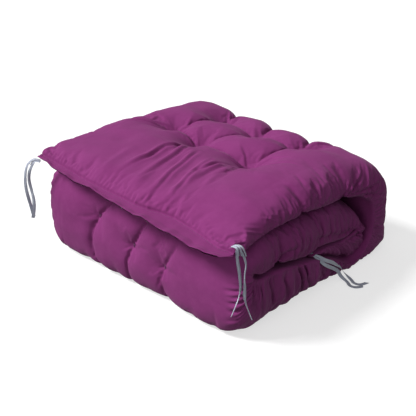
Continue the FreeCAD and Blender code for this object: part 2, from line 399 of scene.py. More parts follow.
# ---- tufts ----
# row: (length along the mattress, [(across, lead)], depth, reach)
TUFT_ROWS = {
    "top_a": (s_at(6, 12, 0, 0.055), [(0.205, 0.030), (0.076, -0.012), (-0.108, -0.022)], 0.052, 0.042),
    "top_b": (s_at(9, 14, 0, 0.222), [(0.165, 0.028), (0.006, -0.012), (-0.140, -0.008)], 0.049, 0.040),
    "wall": (s_at(15, 18, 1, 0.175), [(0.196, 0.0), (0.048, 0.0), (-0.078, 0.0)], 0.030, 0.045),
    "bottom_a": (s_at(21, 24, 0, 0.15), [(0.18, 0.0), (0.03, 0.0), (-0.11, 0.0)], 0.010, 0.045),
    "bottom_b": (s_at(22, 27, 0, -0.06), [(0.16, 0.0), (0.02, 0.0), (-0.11, 0.0)], 0.010, 0.045),
    "fold": (1.687, [(0.139, 0.040), (0.007, 0.0), (-0.105, -0.019)], 0.018, 0.014),
    "middle_a": (s_at(33, 38, 0, -0.08), [(0.16, 0.0), (0.02, 0.0), (-0.11, 0.0)], 0.012, 0.045),
    "middle_b": (s_at(33, 38, 0, 0.07), [(0.16, 0.0), (0.02, 0.0), (-0.11, 0.0)], 0.012, 0.045),
}
TUFTS = {name: [(s + lead, y) for y, lead in places] for name, (s, places, *_) in TUFT_ROWS.items()}


def to_segment(p, q):
    """Distance in the flat cloth from every grid point to the line p-q, and the place along it."""
    d = np.array(q) - np.array(p)
    rs = S_GRID - p[0]
    ry = Y_ARC - p[1]
    u = np.clip((rs * d[0] + ry * d[1]) / (d @ d), 0, 1)
    return np.hypot(rs - u * d[0], ry - u * d[1]), u


def cusp(r, width):
    """Falls off like the round side of a full pillow: steep in the groove, easy further out."""
    return 0.5 * np.exp(-r / (0.5 * width)) + 0.5 * np.exp(-((r / (1.55 * width)) ** 1.6))


def groove(p, q, ends, middle, width):
    r, u = to_segment(p, q)
    amount = middle + (ends - middle) * np.abs(2 * u - 1) ** 2
    return amount * cusp(r, width)


# the grooves that run up the closed fold through its three tufts: along, across, depth (mm)
FOLD_GROOVES = [
    [(1900, 60, 3), (1840, 74, 9), (1785, 97, 15), (1739, 131, 21), (1687, 155, 19),
     (1648, 160, 16), (1602, 154, 15), (1563, 126, 12), (1500, 118, 5)],
    [(1900, -40, 3), (1830, -38, 9), (1765, -30, 14), (1720, -11, 17), (1687, 7, 19),
     (1635, 22, 12), (1600, 24, 10), (1563, 18, 9), (1500, 10, 4)],
    [(1880, -160, 2), (1820, -162, 5), (1759, -155, 9), (1725, -140, 12), (1668, -105, 18),
     (1628, -98, 12), (1589, -103, 9), (1563, -118, 9), (1500, -125, 4)],
]
FOLD_GROOVE_SHARE = 0.7
FOLD_GROOVE_WIDTH = 0.009


def tufted_depth():
    depth = np.zeros_like(S_GRID)
    for name, (*_, deep, reach) in TUFT_ROWS.items():
        for ts, ty in TUFTS[name]:
            r = np.hypot(S_GRID - ts, Y_ARC - ty)
            depth = np.maximum(depth, deep * cusp(r, reach))
        for a, b in zip(TUFTS[name], TUFTS[name][1:]):
            if name != "fold":
                depth = np.maximum(depth, groove(a, b, deep * 0.85, deep * 0.60, 0.026))
    for one, two, ends, middle in (("top_a", "top_b", 0.032, 0.022), ("top_b", "wall", 0.030, 0.022),
                                   ("wall", "bottom_a", 0.020, 0.013), ("bottom_a", "bottom_b", 0.006, 0.004),
                                   ("middle_a", "middle_b", 0.006, 0.004)):
        for a, b in zip(TUFTS[one], TUFTS[two]):
            depth = np.maximum(depth, groove(a, b, ends, middle, 0.024))
    for line in FOLD_GROOVES:
        for (s1, y1, d1), (s2, y2, d2) in zip(line, line[1:]):
            r, u = to_segment((s1 / 1000, y1 / 1000), (s2 / 1000, y2 / 1000))
            deep = FOLD_GROOVE_SHARE * (d1 + (d2 - d1) * u) / 1000
            depth = np.maximum(depth, deep * cusp(r, FOLD_GROOVE_WIDTH))
    return depth


FACE = IS_OUTER * smooth(HN, 0.55, 0.95)[None, :]
HEIGHT = -tufted_depth()
# the near side of the cloth, past the last column, is one wide smooth cell
HEIGHT += 0.003 * span(7, 11, 0.05) - 0.006 * span(2, 7, 0.05)
HEIGHT += 0.006 * np.exp(-(((Y_ARC + 0.235) / 0.075) ** 2)) * span(5, 13, 0.05)
HEIGHT += 0.008 * np.exp(-(((Y_ARC + 0.215) / 0.070) ** 2)) * span(28, 32, 0.04)


def bed(freqs, sign, seed):
    """Uneven waves along the length, for gathers beside a seam."""
    wave = np.zeros(len(S))
    for k, (freq, amp) in enumerate(freqs):
        drift = np.array([noise.noise((float(s) * 6.0, sign * 3.0 + seed, k * 5.0)) for s in S])
        gain = np.array([0.45 + 1.1 * noise.noise((float(s) * 13.0, sign * 9.0 - seed, k * 3.0 + 1.0))
                         for s in S])
        ridge = 1 - np.abs(np.sin(math.pi * freq * S + 7 * drift)) * 1.6
        wave += amp * np.clip(gain, 0, 1) * ridge
    return wave[:, None]


# height, from row, to row, softness: how deep the side's folds are on each stretch
GATHER_HEIGHTS = [
    (0.0006, 6, 11, 0.05), (0.0022, 12, 15, 0.03), (0.0012, 16, 21, 0.02), (0.0034, 22, 27, 0.03),
    (0.0026, 27, 33, 0.02), (0.0020, 33, 39, 0.04), (0.0040, 39, 46, 0.02),
]


def gathers():
    """Wide soft folds across the side where the cloth is eased into its seam."""
    out = np.zeros_like(S_GRID)
    for sign in (-1, 1):
        here = (np.sign(YN) == sign)[None, :] * IS_OUTER * smooth(D_SEAM, 0.0, 0.010)
        wide = bed(((17.0, 1.0), (31.0, 0.9), (52.0, 0.5)), sign, 7.0)
        reach = 1 - smooth(D_SEAM, 0.060, 0.115)
        weight = sum(height * span(lo, hi, soft) for height, lo, hi, soft in GATHER_HEIGHTS)
        out += here * wide * weight * reach
    return out


LONG_FOLDS = [
    # cloth drawn from the closing seam towards the first tufts: points (along, arc), height, half width, mm
    ([(60, 105), (137, 124), (221, 137)], 3.5, 12),
    ([(104, 78), (195, 72), (267, 80), (340, 78)], 7.0, 12),
    ([(52, 0), (98, 2), (163, 14), (248, 26), (330, 50)], 6.5, 12),
    ([(46, -52), (98, -50), (163, -37), (241, -18), (310, 8)], 6.0, 11),
    ([(52, -98), (91, -103), (156, -90), (221, -72), (300, -66)], 6.0, 10),
    ([(143, -98), (234, -94), (313, -97)], 4.5, 9),
    ([(150, -150), (228, -128), (310, -120)], 4.0, 9),
]


def nearest(pts, along, arc):
    """Distance from a line of (along, arc) points in metres, and the place along it from 0 to 1."""
    best = np.full(along.shape, 9.0)
    place = np.zeros(along.shape)
    runs = [math.hypot(q[0] - p[0], q[1] - p[1]) for p, q in zip(pts, pts[1:])]
    total, done = sum(runs), 0.0
    for p, q, run in zip(pts, pts[1:], runs):
        ds, dt = (q[0] - p[0]) / run, (q[1] - p[1]) / run
        rs, rt = along - p[0], arc - p[1]
        u = np.clip(rs * ds + rt * dt, 0, run)
        r = np.hypot(rs - u * ds, rt - u * dt)
        closer = r < best
        best = np.where(closer, r, best)
        place = np.where(closer, (done + u) / total, place)
        done += run
    return best, place


def long_folds():
    out = np.zeros_like(S_GRID)
    for line, height, width in LONG_FOLDS:
        r, u = nearest([(a / 1000, b / 1000) for a, b in line], S_GRID, T_ARC)
        ends = smooth(u, -0.05, 0.3) * (1 - smooth(u, 0.75, 1.05))
        out += height / 1000 * ends * np.exp(-((r / (width / 1000)) ** 2))
    return out


# where the near side pulls in and where it swells: along (m), height (mm), half width (m)
PINCHES = [(0.300, 9, 0.016), (0.500, 8, 0.020), (1.935, 12, 0.018), (1.345, 6, 0.020), (1.250, 4, 0.016),
           (1.470, 5, 0.02), (2.110, 5, 0.02)]
SWELLS = [(0.40, 5, 0.05), (0.18, 3, 0.06), (2.02, 5, 0.05), (1.85, 3, 0.05), (1.42, 4, 0.03),
          (1.29, 4, 0.03)]


def lobes():
    """The eased side seam pulls in at a few places and the pad swells between them."""
    out = np.zeros_like(S_GRID)
    near = (YN < 0)[None, :] * (1 - smooth(D_SEAM, 0.03, 0.10))
    for s, deep, wide in PINCHES:
        out -= deep / 1000 * np.exp(-np.abs((S_GRID - s) / wide) ** 1.3) * near
    for s, high, wide in SWELLS:
        out += high / 1000 * np.exp(-((S_GRID - s) / wide) ** 2) * near
    return out


def soft_noise(scale, amount, seed):
    places = GRID.reshape(-1, 3).tolist()
    flat = np.array([noise.noise((x * scale, y * scale, z * scale + seed)) for x, y, z in places])
    return flat.reshape(GRID.shape[:2]) * amount


SIDE_BULGE = IS_OUTER * np.sin(np.clip(HN, 0, 1) * math.pi)[None, :] * (np.abs(YN) > 0.8)[None, :]
AMOUNT = FACE * HEIGHT + IS_OUTER * lobes() + gathers() + 0.007 * SIDE_BULGE
AMOUNT += IS_OUTER * (soft_noise(8.0, 0.006, 2.0) + soft_noise(21.0, 0.0026, 5.0))
ON_PAD = span(PAD_START, TUCK_AT + 3, 0.012)
AMOUNT = AMOUNT * (0.04 + 0.96 * ON_PAD)


HEM_ROOT_X = 0.313
HEM_EDGE_X = 0.345


def free_end(grid):
    """The closing seam wanders, the hem ripples, and the free end lies a little askew."""
    y = grid[..., 1]
    root = np.interp(y, ROOT_Y, ROOT_X) + HEM_ROOT_X
    edge = np.interp(y, EDGE_Y, EDGE_X) + HEM_EDGE_X
    on_hem = 1 - smooth(S_GRID, MARK[0], MARK[1])
    pull = 1 - smooth(S_GRID, MARK[1], MARK[1] + 0.12)
    grid[..., 0] += root * pull * (1 - on_hem) + edge * on_hem
    tilt = 0.014 * (y / HALF_W) * (1 - smooth(S_GRID, MARK[1], MARK[1] + 0.16))
    ripple = 0.0022 * np.sin(y * 62 + 1.4) + 0.0015 * np.sin(y * 131 + 0.4)
    grid[..., 2] += tilt + ripple * on_hem
    return grid


POINTS = free_end(GRID + NORMAL * AMOUNT[..., None])

# ---- cloth ----
CLOTH_FRAMES = 20
CLOTH_CAP = 0.012        # furthest that any point may move
# negative shrink grows the cloth, so that it has ease to pucker
CLOTH_SETTINGS = {
    "quality": 6, "mass": 0.15, "tension_stiffness": 12.0, "compression_stiffness": 12.0,
    "shear_stiffness": 4.0, "bending_stiffness": 0.05, "tension_damping": 8.0, "compression_damping": 8.0,
    "air_damping": 2.0, "use_pressure": True, "uniform_pressure_force": 4.0, "shrink_min": -0.045,
    "shrink_max": -0.045, "vertex_group_mass": "hold", "pin_stiffness": 4.0,
}


def faces_of(rows, columns):
    i, j = np.meshgrid(np.arange(rows - 1), np.arange(columns), indexing="ij")
    k = (j + 1) % columns
    corners = [i * columns + j, i * columns + k, (i + 1) * columns + k, (i + 1) * columns + j]
    return np.stack(corners, axis=2).reshape(-1, 4)


def cloth_pass(points):
    """The sewn cover filled out by its cotton: held at tufts, seams and hidden faces, free elsewhere."""
    rows, columns = points.shape[:2]
    me = bpy.data.meshes.new("cloth_work")
    me.from_pydata(points.reshape(-1, 3).tolist(), [], faces_of(rows, columns).tolist())
    obj = bpy.data.objects.new("cloth_work", me)
    link(obj)
    hold = np.zeros(points.shape[:2])
    hold[IS_OUTER < 0.5] = 1.0
    hold = np.maximum(hold, 1 - smooth(D_SEAM, 0.002, 0.012))
    hold = np.maximum(hold, 1 - ON_PAD)
    for name in TUFTS:
        for s, y in TUFTS[name]:
            hold = np.maximum(hold, 1 - smooth(np.hypot(S_GRID - s, Y_ARC - y), 0.006, 0.016))
    hold = np.maximum(hold, span(BOTTOM_AT, FOLD_AT - 1, 0.03) * smooth(D_SEAM, 0.10, 0.14))
    hold = np.maximum(hold, span(MIDDLE_AT, ROLL_AT, 0.03) * smooth(D_SEAM, 0.09, 0.13))
    group = obj.vertex_groups.new(name="hold")
    flat = hold.reshape(-1)
    for level in np.unique(np.round(flat, 1)):
        group.add(np.nonzero(np.round(flat, 1) == level)[0].tolist(), float(level), "REPLACE")
    mod = obj.modifiers.new("cloth", "CLOTH")
    c = mod.settings
    for key, value in CLOTH_SETTINGS.items():
        setattr(c, key, value)
    c.effector_weights.gravity = 0.0
    mod.collision_settings.use_self_collision = False
    mod.collision_settings.use_collision = False
    mod.point_cache.frame_start = 1
    mod.point_cache.frame_end = CLOTH_FRAMES
    scene = bpy.context.scene
    for f in range(1, CLOTH_FRAMES + 1):
        scene.frame_set(f)
    seen = obj.evaluated_get(bpy.context.evaluated_depsgraph_get())
    out = np.empty(rows * columns * 3)
    seen.data.vertices.foreach_get("co", out)
    out = out.reshape(rows, columns, 3)
    scene.frame_set(1)
    bpy.data.objects.remove(obj)
    bpy.data.meshes.remove(me)
    move = out - points
    size = np.linalg.norm(move, axis=2, keepdims=True)
    move *= CLOTH_CAP * np.tanh(size / CLOTH_CAP) / np.maximum(size, 1e-9)
    # the closed fold is packed tight and puckers half as much
    move *= (1 - 0.5 * span(FOLD_AT, FOLD_AT + 5, 0.03))[..., None]
    return points + move


POINTS = cloth_pass(POINTS)


# ---- fine creases ----


def finer(values, wrap):
    """Twice as many values along the first axis, on a cubic through the old ones."""
    if wrap:
        before, after, after2 = (np.roll(values, k, axis=0) for k in (1, -1, -2))
    else:
        before = np.concatenate([values[:1], values[:-1]])
        after = np.concatenate([values[1:], values[-1:]])
        after2 = np.concatenate([values[2:], values[-1:], values[-1:]])
    middle = (9 * (values + after) - before - after2) / 16
    out = np.stack([values, middle], axis=1).reshape((-1,) + values.shape[1:])
    return out if wrap else out[:-1]


POINTS = np.swapaxes(finer(np.swapaxes(finer(POINTS, False), 0, 1), True), 0, 1)
S = np.interp(np.arange(2 * len(S) - 1) / 2, np.arange(len(S)), S)
ring = [np.append(v, v[0]) for v in (YN, HN, SEAM_D, OUTER)]
at = np.arange(2 * len(YN)) / 2
YN, HN, SEAM_D, OUTER = (np.interp(at, np.arange(len(v)), v) for v in ring)
OUTER = (OUTER > 0.99).astype(float)
S_GRID, Y_ARC, T_ARC, D_SEAM, IS_OUTER = flat_fields()
HALF_ARC = float(SEAM_D.max())
ON_PAD = span(PAD_START, TUCK_AT + 3, 0.012)


def crease(amount, pts, depth, width, ridge=0.5, tail=0.45):
    """A sharp fold line through (along, arc) points in mm: a valley between raised lips, fading out."""
    pts = [(a / 1000, b / 1000) for a, b in pts]
    lo = min(p[0] for p in pts) - 5 * width
    hi = max(p[0] for p in pts) + 5 * width
    i, j = np.searchsorted(S, lo), np.searchsorted(S, hi)
    if j - i < 2:
        return
    best, place = nearest(pts, S_GRID[i:j], T_ARC[i:j])
    fade = 1 - smooth(place, 1 - tail, 1.0)
    fade *= 0.35 + 0.65 * smooth(place, 0.0, 0.12)
    shape = ridge * np.exp(-(((best - 2.1 * width) / (1.3 * width)) ** 2)) - np.exp(-((best / width) ** 1.25))
    amount[i:j] += IS_OUTER[i:j] * depth * fade * shape


NAMED_CREASES = [
    # points (along, arc) mm; depth, half width mm; share of the length over which it fades
    ([(434, 206), (384, 244), (353, 280), (318, 326)], 5.5, 4.5, 0.5),
    ([(436, 214), (396, 252), (374, 296), (352, 345)], 4.5, 4.5, 0.5),
    ([(330, 66), (267, 74), (195, 62), (104, 68)], 4.6, 4.5, 0.5),
    ([(330, 36), (248, 16), (163, 2), (98, -10)], 3.6, 4.5, 0.6),
    ([(300, -5), (241, -22), (163, -41), (98, -60), (50, -64)], 4.0, 4.2, 0.5),
    ([(290, -62), (221, -74), (156, -94), (91, -112), (50, -108)], 3.8, 4.2, 0.5),
    ([(300, -84), (234, -82), (175, -66), (150, -62)], 2.4, 4.0, 0.6),
    ([(345, -112), (313, -104), (234, -104), (150, -112)], 2.4, 4.5, 0.6),
    ([(350, -118), (287, -138), (228, -128), (170, -140)], 2.0, 4.5, 0.6),
    ([(372, -118), (352, -150), (345, -185)], 2.6, 3.5, 0.7),
    ([(386, -122), (390, -152), (384, -190)], 2.6, 3.5, 0.7),
    ([(400, -120), (428, -150), (436, -190), (430, -225)], 2.8, 3.8, 0.7),
    ([(378, -96), (360, -70), (350, -50)], 2.0, 3.5, 0.8),
    ([(521, -392), (567, -360), (599, -333), (612, -300)], 5.0, 4.5, 0.5),
    ([(528, -392), (600, -384), (664, -371), (736, -333)], 5.0, 4.5, 0.5),
    ([(560, -396), (645, -394), (730, -379), (769, -353)], 4.5, 4.0, 0.5),
    ([(500, -396), (520, -372), (540, -345)], 3.5, 3.5, 0.7),
    ([(1700, -385), (1702, -333), (1700, -285)], 5.0, 4.5, 0.4),
    ([(1664, -385), (1661, -340), (1676, -288)], 3.8, 4.0, 0.5),
    ([(1634, -385), (1635, -333), (1656, -296)], 4.0, 4.0, 0.5),
    ([(1600, -385), (1604, -335), (1622, -300)], 3.2, 4.0, 0.5),
    ([(1735, -385), (1738, -345), (1732, -312)], 3.2, 4.0, 0.6),
    ([(1674, -378), (1620, -374), (1557, -366), (1500, -350)], 4.0, 4.5, 0.4),
    ([(1368, -396), (1361, -386), (1342, -353), (1330, -320)], 8.0, 5.5, 0.4),
    ([(1338, -392), (1330, -372), (1292, -327)], 7.0, 5.0, 0.4),
    ([(1268, -392), (1262, -373), (1225, -333)], 3.5, 3.5, 0.4),
    ([(1486, -392), (1476, -376), (1446, -333)], 5.5, 5.0, 0.4),
    ([(1428, -392), (1418, -368), (1400, -335)], 4.5, 5.0, 0.5),
    ([(1545, -392), (1530, -376), (1505, -340)], 4.5, 5.0, 0.5),
    ([(1920, -396), (1935, -388), (1961, -381), (2013, -372)], 9.0, 6.0, 0.6),
    ([(2091, -392), (2093, -372), (2091, -353), (2084, -315)], 3.0, 3.5, 0.5),
    ([(2112, -392), (2116, -365), (2110, -330)], 3.0, 3.5, 0.5),
    ([(1915, -392), (1922, -366), (1915, -333)], 4.0, 4.5, 0.5),
    ([(1993, -392), (1987, -366), (1974, -335)], 3.5, 4.0, 0.5),
    ([(2055, -392), (2052, -365), (2040, -330)], 2.6, 4.0, 0.5),
    ([(2091, -376), (2208, -390), (2299, -380)], 5.0, 5.0, 0.3),
    ([(2430, -390), (2390, -384), (2351, -370)], 5.0, 5.0, 0.4),
    ([(2330, -396), (2325, -370), (2340, -330)], 4.0, 4.5, 0.5),
]
# fine gathers where each stretch of the side is eased in: along from, to, spacing, reach, depth (mm)
GATHER_BEDS = [
    (60, 200, 24, 45, 1.2), (200, 330, 9.5, 95, 1.7), (330, 475, 8.5, 120, 1.9), (475, 700, 12, 80, 2.8),
    (700, 1010, 13, 26, 2.2), (1010, 1540, 30, 75, 3.0), (1540, 1830, 19, 55, 2.0), (1830, 2190, 13, 60, 2.0),
    (2190, 2430, 15, 60, 3.2),
]


def fine_creases():
    amount = IS_OUTER * long_folds()
    for pts, depth, width, tail in NAMED_CREASES:
        crease(amount, pts, depth / 1000, width / 1000, 0.55, tail)
    rng = np.random.default_rng(7)
    edge = HALF_ARC * 1000
    for sign in (-1, 1):
        for lo, hi, gap, reach, depth in GATHER_BEDS:
            s = lo + gap * rng.random()
            while s < hi:
                long = reach * (0.35 + 0.65 * rng.random())
                lean = long * (0.18 * rng.standard_normal() + 0.05)
                start = 3 + 9 * rng.random()
                bend = s + 0.4 * lean + 1.5 * rng.standard_normal()
                pts = [(s, sign * (edge - start)), (bend, sign * (edge - start - 0.5 * long)),
                       (s + lean, sign * (edge - start - long))]
                deep = depth / 1000 * (0.35 + 0.9 * rng.random())
                crease(amount, pts, deep, 0.0028 + 0.0012 * rng.random(), 0.5, 0.75)
                s += gap * (0.45 + 1.1 * rng.random())
    # puckers beside the closing stitch
    y = -335.0
    while y < 335:
        s0 = 38 + 3 * rng.random()
        pts = [(s0, y), (s0 + 14, y + 2 * rng.standard_normal()),
               (s0 + 22 + 22 * rng.random(), y + 5 * rng.standard_normal())]
        crease(amount, pts, 0.0016 * (0.3 + rng.random()), 0.0028, 0.6, 0.8)
        pts = [(30, y + 4), (22 - 6 * rng.random(), y + 4 + 3 * rng.standard_normal())]
        crease(amount, pts, 0.0010 * rng.random(), 0.0026, 0.5, 0.8)
        y += 9 + 13 * rng.random()
    # short rays where each tuft pinches the cloth
    for name in TUFTS:
        for s, t in TUFTS[name]:
            for k in range(9):
                ang = 2 * math.pi * (k + 0.6 * rng.random()) / 9
                long = 16 + 20 * rng.random()
                c, d = math.cos(ang), math.sin(ang)
                pts = [(1000 * s + r * c, 1000 * t + r * d) for r in (5, long)]
                crease(amount, pts, 0.0013 * (0.4 + rng.random()), 0.0026, 0.5, 0.8)
    # the stitched line itself, sunk between hem and pad
    amount -= IS_OUTER * 0.0050 * np.exp(-((S_GRID - MARK[HEM_ROOT] - 0.002) / 0.0034) ** 2)
    amount += IS_OUTER * 0.0012 * np.exp(-((S_GRID - MARK[HEM_EDGE] - 0.004) / 0.006) ** 2)
    return amount


FINE = fine_creases()
FINE *= np.where(S_GRID < MARK[HEM_ROOT] + 0.02, 1.0, 0.04 + 0.96 * ON_PAD)
POINTS = POINTS + outward_normals(POINTS) * FINE[..., None]
LOW = CAD_BOX[0]
HIGH = CAD_BOX[1]
FLOOR_GAP = 0.0006
# how far the cloth may stand proud of the CAD box
PROUD_TOP, PROUD_LEFT, PROUD_RIGHT = 0.0165, 0.006, 0.012
POINTS[..., 2] = np.clip(POINTS[..., 2], FLOOR_GAP, HIGH[2] + PROUD_TOP)
POINTS[..., 0] = np.clip(POINTS[..., 0], LOW[0] - PROUD_LEFT, HIGH[0] + PROUD_RIGHT)


def mesh_object(name, verts, faces, material):
    me = bpy.data.meshes.new(name)
    me.from_pydata(verts, [], faces)
    me.materials.append(material)
    me.polygons.foreach_set("use_smooth", [True] * len(me.polygons))
    me.update()
    obj = bpy.data.objects.new(name, me)
    link(obj)
    return obj


SMOOTH_NORMALS = outward_normals(POINTS)


def cover_piece(name, first, last, caps=(False, False)):
    """A tube piece of the cover from station `first` to `last`."""
    part = POINTS[first:last + 1]
    n, m = part.shape[:2]
    faces = faces_of(n, m).tolist()
    if caps[0]:
        faces.append(list(range(m))[::-1])
    if caps[1]:
        faces.append([(n - 1) * m + j for j in range(m)])
    obj = mesh_object(name, part.reshape(-1, 3).tolist(), faces, CLOTH)
    obj.data.normals_split_custom_set_from_vertices(SMOOTH_NORMALS[first:last + 1].reshape(-1, 3).tolist())
    return obj


CUT_WALL = int(np.searchsorted(S, (MARK[WALL_AT] + MARK[WALL_AT + 1]) / 2))
CUT_BOTTOM = int(np.searchsorted(S, MARK[BOTTOM_AT + 1]))
TOP = cover_piece("cover_top_and_upper_corner", 0, CUT_WALL, (True, False))
WALL = cover_piece("cover_wall_and_lower_corner", CUT_WALL, CUT_BOTTOM)
BASE = cover_piece("cover_lower_layers", CUT_BOTTOM, len(S) - 1, (False, True))

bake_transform(TOP)
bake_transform(WALL)
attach(BASE, "base")
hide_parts("cover_top", "fill_top", "cover_upper_corner", "fill_upper_corner", "free_end_hem")
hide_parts("cover_upright", "fill_upright", "cover_lower_corner", "fill_lower_corner")
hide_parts("cover_bottom", "fill_bottom", "cover_closed_fold", "fill_closed_fold", "cover_middle",
            "fill_middle", "cover_tucked_end", "fill_tucked_end", "tucked_end_hem")

# ---- sewing ----
SEAM_THREAD_R = 0.00055
TUFT_THREAD_R = 0.00075
THREAD_CLEAR = 0.0008    # least height of a thread's line above the floor
OUT_COLS = np.nonzero((OUTER > 0.5) & (HN > 0.25))[0]


def on_cloth(s, y, lift=0.0):
    """A point on the outer face of the cover, lifted off it, from its place in the flat cloth."""
    u = np.clip(s / S[1], 0, len(S) - 1.001)
    i = int(u)
    u -= i
    v = float(np.interp(-y, -YN[OUT_COLS] * HALF_W, OUT_COLS))
    j = int(min(v, OUT_COLS[-1] - 1))
    v -= j
    w = ((1 - u) * (1 - v), (1 - u) * v, u * (1 - v), u * v)
    at = ((i, j), (i, j + 1), (i + 1, j), (i + 1, j + 1))
    p = sum(k * POINTS[a] for k, a in zip(w, at))
    n = sum(k * SMOOTH_NORMALS[a] for k, a in zip(w, at))
    out = Vector(p) + Vector(n).normalized() * lift
    out.z = max(out.z, THREAD_CLEAR)
    return out


def add_thread(verts, faces, line, radius, sides=6):
    """A thread laid along the points of `line`, sunk into the cloth at both ends."""
    first = len(verts)
    for k, p in enumerate(line):
        t = (line[min(k + 1, len(line) - 1)] - line[max(k - 1, 0)]).normalized()
        a = t.cross(Vector((0.31, 0.17, 0.93))).normalized()
        b = t.cross(a)
        r = radius * (0.55 if k in (0, len(line) - 1) else 1.0)
        for m in range(sides):
            ang = 2 * math.pi * m / sides
            verts.append(tuple(p + a * (r * math.cos(ang)) + b * (r * math.sin(ang))))
    for k in range(len(line) - 1):
        for m in range(sides):
            q = (m + 1) % sides
            here, there = first + k * sides, first + (k + 1) * sides
            faces.append((here + m, here + q, there + q, there + m))
    faces.append(tuple(first + m for m in range(sides))[::-1])
    faces.append(tuple(first + (len(line) - 1) * sides + m for m in range(sides)))


def finish_stitches(name, verts, faces, body, nodes):
    obj = mesh_object(name, verts, faces, THREAD)
    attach(obj, body)
    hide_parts(*nodes)


def seam_stitches(name, s, y_from, y_to, body, *nodes, pitch=0.0062, long=0.0045):
    """A row of short running stitches across the mattress."""
    verts, faces = [], []
    count = int((y_to - y_from) / pitch)
    for k in range(count):
        y = y_from + (k + 0.5) * pitch
        tilt = 0.0008 * math.sin(k * 1.7)
        rise = ((-0.5, -0.0004), (-0.3, 0.0004), (0.3, 0.0004), (0.5, -0.0004))
        line = [on_cloth(s + tilt * c, y + long * c, lift) for c, lift in rise]
        add_thread(verts, faces, line, SEAM_THREAD_R)
    finish_stitches(name, verts, faces, body, nodes)


seam_stitches("free_end_seam_stitches", MARK[HEM_ROOT], -0.335, 0.335, "top_section",
              "free_end_closing_stitch")
seam_stitches("tucked_end_seam_stitches", MARK[LAST - 1], -0.325, 0.335, "base",
              "tucked_end_closing_stitch")


def tuft_stitches(name, rows, body, *nodes):
    """Each tuft: three tight stitches through the pad, drawn down into their dimple."""
    verts, faces = [], []
    for row in rows:
        for s, y in TUFTS[row]:
            for k, off in enumerate((-0.0014, 0.0, 0.0015)):
                line = []
                for c in (-1.0, -0.6, 0.0, 0.6, 1.0):
                    lift = 0.0022 - 0.0030 * c * c
                    line.append(on_cloth(s + 0.0065 * c, y + off + 0.0006 * c * (k - 1), lift))
                add_thread(verts, faces, line, TUFT_THREAD_R)
    finish_stitches(name, verts, faces, body, nodes)


tuft_stitches("tuft_stitches_top", ("top_a", "top_b"), "top_section", "tuft_threads_top")
tuft_stitches("tuft_stitches_wall", ("wall",), "upright", "tuft_threads_upright")
tuft_stitches("tuft_stitches_lower", ("bottom_a", "bottom_b", "fold", "middle_a", "middle_b"), "base",
              "tuft_threads_bottom", "tuft_threads_closed_fold", "tuft_threads_middle")

# ---- ties ----
RIBBON_W = 0.010
RIBBON_T = 0.0008
ROOT_W = 0.0085          # a sewn end is drawn a little narrower


def spline_points(route, gap=0.0025):
    """Evenly spaced points on the smooth line through a route's control points."""
    curve = bpy.data.curves.new("route", "CURVE")
    curve.dimensions = "3D"
    sp = curve.splines.new("NURBS")
    sp.points.add(len(route) - 1)
    for k, p in enumerate(route):
        sp.points[k].co = (p[0], p[1], p[2], 1.0)
    sp.order_u = 3
    sp.use_endpoint_u = True
    sp.resolution_u = 16
    obj = bpy.data.objects.new("route", curve)
    link(obj)
    me = bpy.data.meshes.new_from_object(obj)
    line = np.array([v.co[:] for v in me.vertices])
    bpy.data.objects.remove(obj)
    bpy.data.curves.remove(curve)
    bpy.data.meshes.remove(me)
    run = np.concatenate([[0], np.cumsum(np.linalg.norm(np.diff(line, axis=0), axis=1))])
    at = np.linspace(0, run[-1], max(4, int(run[-1] / gap)))
    return [Vector([float(np.interp(u, run, line[:, k])) for k in range(3)]) for u in at], at


def ribbon_strip(name, line, at, faces_to, crease, body, width=RIBBON_W, slant=0.3):
    """A flat tape along `line`: faces_to says which way its face looks, crease how deep its folds are."""
    us = [f[0] for f in faces_to]
    verts, faces, uvs = [], [], []
    across = np.linspace(-1, 1, 9)
    total = at[-1]
    for k, p in enumerate(line):
        u = at[k] / total
        t = (line[min(k + 1, len(line) - 1)] - line[max(k - 1, 0)]).normalized()
        look = Vector([float(np.interp(u, us, [f[1][i] for f in faces_to])) for i in range(3)])
        w = t.cross(look).normalized()
        n = w.cross(t).normalized()
        half = 0.5 * width
        fold = crease[0] + (crease[1] - crease[0]) * u
        ring = []
        for v in across:
            h = fold * (math.cos(math.pi * 1.6 * v + 0.4) - 0.4)
            squeeze = 1 - 0.25 * min(1.0, abs(fold) / 0.0015)
            ring.append((v * half * squeeze, h, v))
        cut = slant * half if k == len(line) - 1 else 0.0
        for side in (1, -1):
            for x, h, v in (ring if side > 0 else ring[::-1]):
                edge = 1.0 - 0.55 * abs(v) ** 6
                verts.append(tuple(p + w * x + n * (h + side * 0.5 * RIBBON_T * edge) + t * (cut * v)))
                uvs.append((at[k], (v + 1) * half))
    m = 2 * len(across)
    for k in range(len(line) - 1):
        for j in range(m):
            q = (j + 1) % m
            faces.append((k * m + j, k * m + q, (k + 1) * m + q, (k + 1) * m + j))
    faces.append(tuple(range(m))[::-1])
    faces.append(tuple((len(line) - 1) * m + j for j in range(m)))
    obj = mesh_object(name, verts, faces, RIBBON)
    layer = obj.data.uv_layers.new(name="UVMap")
    for loop in obj.data.loops:
        layer.data[loop.index].uv = uvs[loop.vertex_index]
    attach(obj, body)
    return obj


def in_metres(route):
    return [(x / 1000.0, y / 1000.0, z / 1000.0) for x, y, z in route]


def tie_tail(stem, route, faces_to, crease, body, slant=0.3):
    route = in_metres(route)
    line, at = spline_points(route)
    obj = ribbon_strip(stem + "_ribbon", line, at, faces_to, crease, body, slant=slant)
    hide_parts(stem + "_tail")


